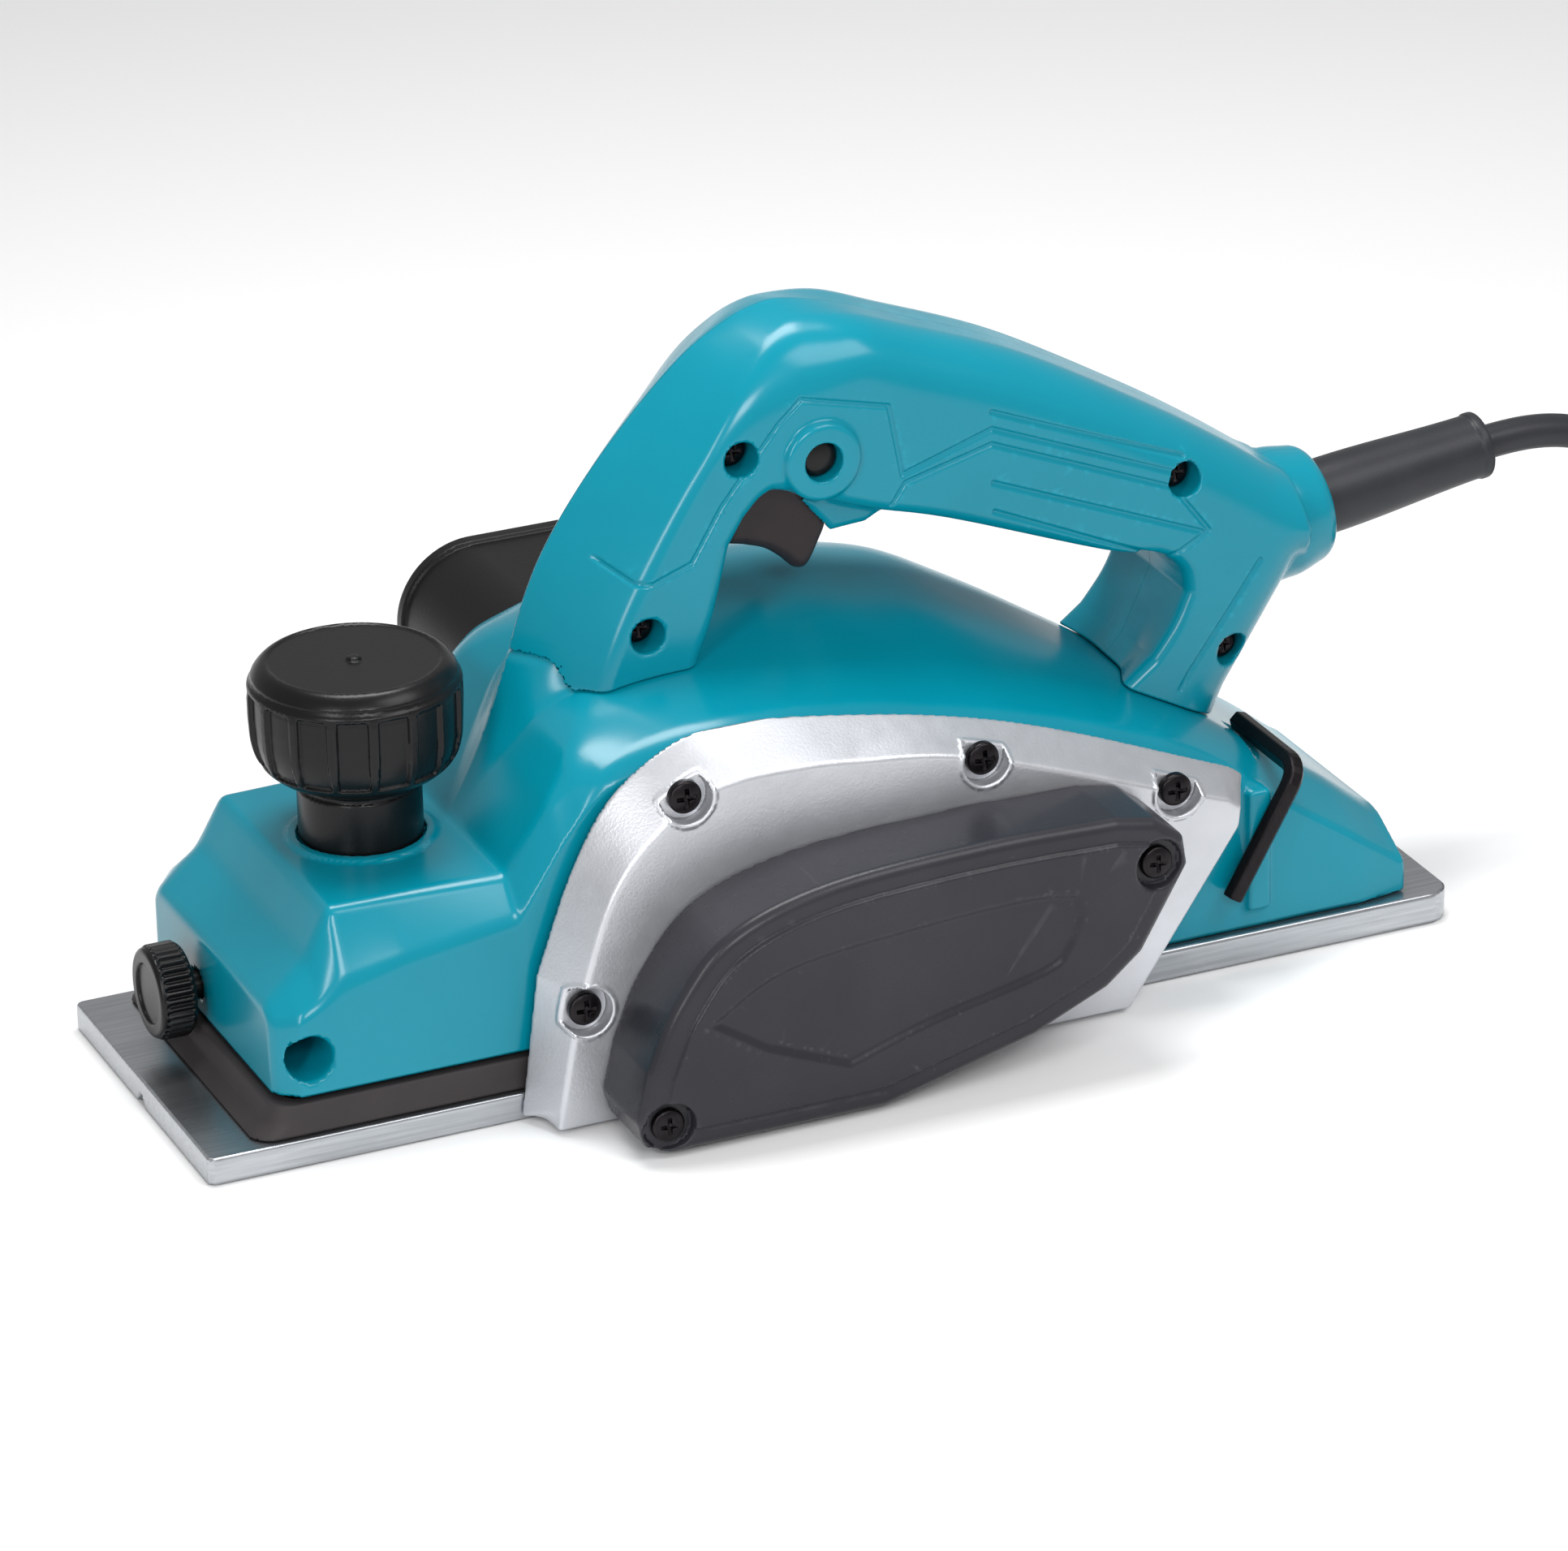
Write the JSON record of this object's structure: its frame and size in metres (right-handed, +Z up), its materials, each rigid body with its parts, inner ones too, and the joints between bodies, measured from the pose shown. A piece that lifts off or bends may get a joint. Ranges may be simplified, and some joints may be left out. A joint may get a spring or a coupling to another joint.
{
  "type": "electric hand planer",
  "caption": "Corded hand-held electric planer with a lifting front shoe, rear sole, belt-driven cutter drum, loop handle with trigger, side belt cover and depth knob.",
  "frame": {"origin": "centre of the rear base's sole face, on the planer's centre line", "axes": "+Z up out of the sole, +X towards the rear (cord end), -Y towards the belt side"},
  "size_m": [0.4797, 0.1578, 0.1529],
  "materials": {
    "teal_housing": "glossy moulded",
    "silver_casting": "painted die casting",
    "machined_sole": "machined",
    "rubber_skirt": "matt",
    "charcoal_cover": "semi-gloss moulded",
    "black_plastic": "satin moulded",
    "trigger_plastic": "satin moulded",
    "cord_rubber": "satin",
    "belt_rubber": "matt",
    "bright_steel": "ground",
    "dark_steel": "black oxide",
    "lamination_steel": "stacked laminations",
    "copper": "turned copper",
    "brass": "stamped",
    "carbon": "pressed carbon"
  },
  "bodies": {
    "shell": {"main_housing": "teal_housing", "handle_left": "teal_housing", "handle_right": "teal_housing", "rear_base": "silver_casting", "side_frame": "silver_casting", "belt_cover": "charcoal_cover", "drum_end_plate": "silver_casting", "frame_screw_1": "dark_steel", "frame_screw_2": "dark_steel", "frame_screw_3": "dark_steel", "frame_screw_4": "dark_steel", "cover_screw_1": "dark_steel", "cover_screw_2": "dark_steel", "handle_screw_1": "dark_steel", "handle_screw_2": "dark_steel", "handle_screw_3": "dark_steel", "handle_screw_4": "dark_steel", "drive_belt": "belt_rubber", "drum_bearing_left": "bright_steel", "drum_bearing_right": "bright_steel", "motor_bearing_left": "bright_steel", "motor_bearing_right": "bright_steel", "stator": "lamination_steel", "brush_left": "carbon", "brush_right": "carbon", "brush_holder_left": "brass", "brush_holder_right": "brass", "switch_module": "black_plastic", "chip_nozzle": "black_plastic", "cord_guard": "cord_rubber", "mains_cord": "cord_rubber", "cord_coil": "cord_rubber", "mains_plug": "black_plastic", "depth_spring": "bright_steel"},
    "front_shoe": {"front_base": "machined_sole", "front_skirt": "rubber_skirt"},
    "depth_adjuster": {"depth_knob": "black_plastic", "depth_screw": "bright_steel"},
    "cutter": {"cutter_drum": "bright_steel", "planer_blade_1": "bright_steel", "planer_blade_2": "bright_steel", "blade_clamp_1": "dark_steel", "blade_clamp_2": "dark_steel", "driven_pulley": "bright_steel"},
    "armature": {"armature_shaft": "bright_steel", "armature_core": "lamination_steel", "commutator": "copper", "cooling_fan": "black_plastic", "drive_pulley": "bright_steel"},
    "trigger": {"trigger": "trigger_plastic"},
    "lock_button": {"lock_button": "black_plastic"},
    "fence_clamp": {"fence_clamp_knob": "black_plastic"},
    "hex_wrench": {"hex_wrench": "dark_steel"}
  },
  "joints": [
    {"name": "depth_knob_turn", "type": "hinge", "parent": "shell", "child": "depth_adjuster", "pos_m": [-0.144, 0, 0.07], "axis": [0, 0, -1], "range_deg": [0, 360]},
    {"name": "front_shoe_lift", "type": "slide", "parent": "shell", "child": "front_shoe", "axis": [0, 0, 1], "range_m": [0, 0.001], "deforming": ["depth_spring"]},
    {"name": "cutter_spin", "type": "hinge", "parent": "shell", "child": "cutter", "pos_m": [-0.085, 0, 0.0248], "axis": [0, 1, 0], "continuous": true},
    {"name": "armature_spin", "type": "hinge", "parent": "shell", "child": "armature", "pos_m": [-0.023, 0, 0.042], "axis": [0, 1, 0], "continuous": true},
    {"name": "trigger_pull", "type": "hinge", "parent": "shell", "child": "trigger", "pos_m": [-0.06, 0, 0.121], "axis": [0, -1, 0], "range_deg": [0, 10], "stiffness_Nm_per_rad": 0.5, "springref_deg": -17.19},
    {"name": "lock_button_push", "type": "slide", "parent": "shell", "child": "lock_button", "axis": [0, 1, 0], "range_m": [0, 0.004], "stiffness_N_per_m": 150, "springref_m": -0.002},
    {"name": "fence_clamp_turn", "type": "hinge", "parent": "shell", "child": "fence_clamp", "pos_m": [-0.185, 0.009, 0.0205], "axis": [1, 0, 0], "range_deg": [0, 720]},
    {"name": "hex_wrench_pull", "type": "slide", "parent": "shell", "child": "hex_wrench", "axis": [0, -1, 0], "range_m": [0, 0.032]}
  ],
  "couplings": [
    {"joint": "depth_knob_turn", "follows": "front_shoe_lift", "rad_per_m": 6280},
    {"joint": "armature_spin", "follows": "cutter_spin", "ratio": 1.7683}
  ]
}
